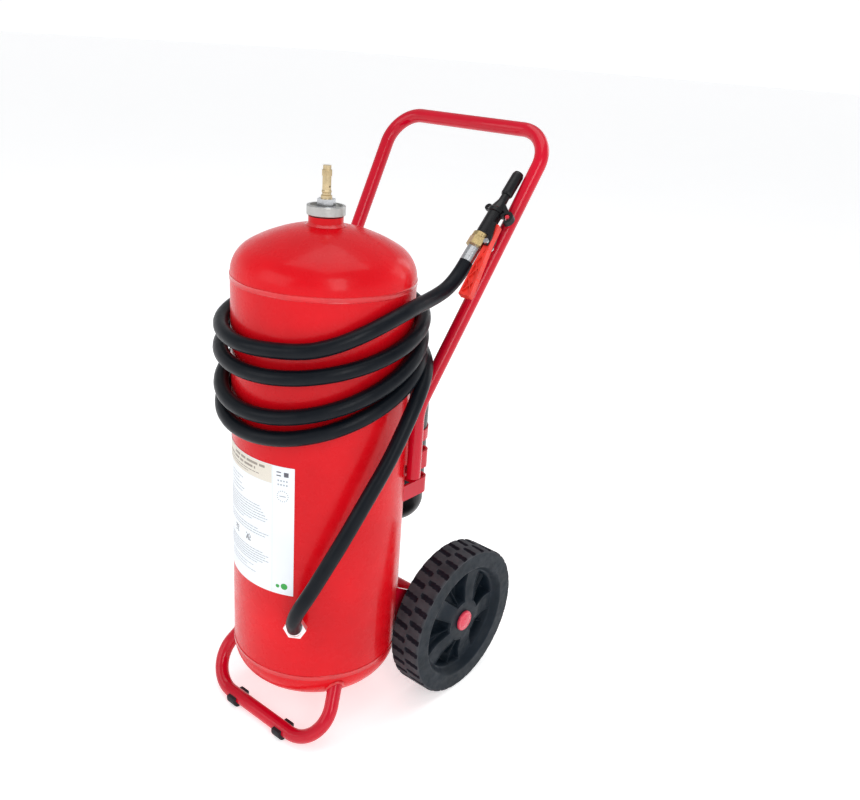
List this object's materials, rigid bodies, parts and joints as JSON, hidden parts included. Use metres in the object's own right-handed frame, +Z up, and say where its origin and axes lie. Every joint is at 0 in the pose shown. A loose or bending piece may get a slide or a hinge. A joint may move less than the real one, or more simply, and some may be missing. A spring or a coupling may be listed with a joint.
{
  "type": "wheeled fire extinguisher",
  "caption": "Red wheeled foam fire extinguisher: pressure vessel on two wheels with a push handle, CO2 bottle, coiled hose and hand gun.",
  "frame": {"origin": "on the floor under the middle of the whole extinguisher, not counting the hose", "axes": "+Z up, +Y towards the handle and the wheels, +X towards the side that the hose outlet and the gun are on"},
  "size_m": [0.409, 0.5475, 1.0564],
  "materials": {
    "vessel_paint": "glossy",
    "frame_paint": "glossy",
    "cap_aluminium": "satin",
    "zinc_steel": "zinc plated",
    "brass": "satin",
    "seal_rubber": "matt",
    "hose_rubber": "satin",
    "label_paper": "printed paper",
    "pickup_plastic": "plain",
    "tyre": "matt",
    "wheel_plastic": "satin",
    "cap_plastic": "glossy",
    "bottle_paint": "satin",
    "strap_steel": "glossy",
    "handwheel_plastic": "moulded",
    "gun_plastic": "moulded",
    "lever_plastic": "moulded"
  },
  "bodies": {
    "chassis": {"axle": "zinc_steel", "axle_plate_left": "frame_paint", "axle_plate_right": "frame_paint", "axle_sleeve": "frame_paint", "back_bar_lower": "frame_paint", "back_bar_upper": "frame_paint", "bottle_strap_lower": "strap_steel", "bottle_strap_upper": "strap_steel", "bottle_valve": "brass", "burst_disc_plug": "brass", "co2_bottle": "bottle_paint", "foot_frame": "frame_paint", "foot_pad_left": "seal_rubber", "foot_pad_right": "seal_rubber", "gas_inlet": "vessel_paint", "gas_pipe": "zinc_steel", "gun_body": "gun_plastic", "gun_nut": "brass", "gun_peg": "frame_paint", "gun_pivot_bolt": "zinc_steel", "gun_tip": "gun_plastic", "handle_frame": "frame_paint", "handle_welds": "frame_paint", "hose_coil": "hose_rubber", "hose_ferrule": "zinc_steel", "hose_gun_run": "hose_rubber", "hose_supply_run": "hose_rubber", "hub_cap_left": "cap_plastic", "hub_cap_right": "cap_plastic", "label": "label_paper", "neck_cap": "cap_aluminium", "neck_collar": "vessel_paint", "neck_gasket": "seal_rubber", "neck_weld": "vessel_paint", "outlet_boss": "vessel_paint", "outlet_nut": "zinc_steel", "pickup_tube": "pickup_plastic", "relief_adapter": "zinc_steel", "relief_spring": "zinc_steel", "relief_valve_body": "brass", "relief_valve_cap": "brass", "strap_bolts": "zinc_steel", "tube_plugs": "frame_paint", "vessel_bottom_head": "vessel_paint", "vessel_shell": "vessel_paint", "vessel_top_head": "vessel_paint", "weld_bottom": "vessel_paint", "weld_top": "vessel_paint", "wheel_spacer_left": "zinc_steel", "wheel_spacer_right": "zinc_steel"},
    "right_wheel": {"wheel_tyre_right": "tyre", "wheel_disc_right": "wheel_plastic", "wheel_bush_right": "pickup_plastic"},
    "left_wheel": {"wheel_tyre_left": "tyre", "wheel_disc_left": "wheel_plastic", "wheel_bush_left": "pickup_plastic"},
    "lever": {"gun_lever": "lever_plastic"},
    "handwheel": {"valve_handwheel": "handwheel_plastic", "valve_spindle": "zinc_steel"},
    "poppet": {"relief_poppet": "brass"}
  },
  "joints": [
    {"name": "right_wheel_spin", "type": "hinge", "parent": "chassis", "child": "right_wheel", "pos_m": [0.1715, 0.096, 0.145], "axis": [1, 0, 0], "continuous": true},
    {"name": "left_wheel_spin", "type": "hinge", "parent": "chassis", "child": "left_wheel", "pos_m": [-0.1715, 0.096, 0.145], "axis": [1, 0, 0], "continuous": true},
    {"name": "gun_lever_squeeze", "type": "hinge", "parent": "chassis", "child": "lever", "pos_m": [0.1715, 0.10038, 0.86975], "axis": [0, 0.7239, -0.6899], "range_deg": [0, 6], "stiffness_Nm_per_rad": 1.5, "springref_deg": -5.73},
    {"name": "bottle_valve_turn", "type": "hinge", "parent": "chassis", "child": "handwheel", "pos_m": [0, 0.1072, 0.7], "axis": [0, 0, 1], "range_deg": [0, 360]},
    {"name": "relief_lift", "type": "slide", "parent": "chassis", "child": "poppet", "axis": [0, 0, 1], "range_m": [0, 0.002], "stiffness_N_per_m": 2000, "springref_m": -0.002, "deforming": ["relief_spring"]}
  ]
}
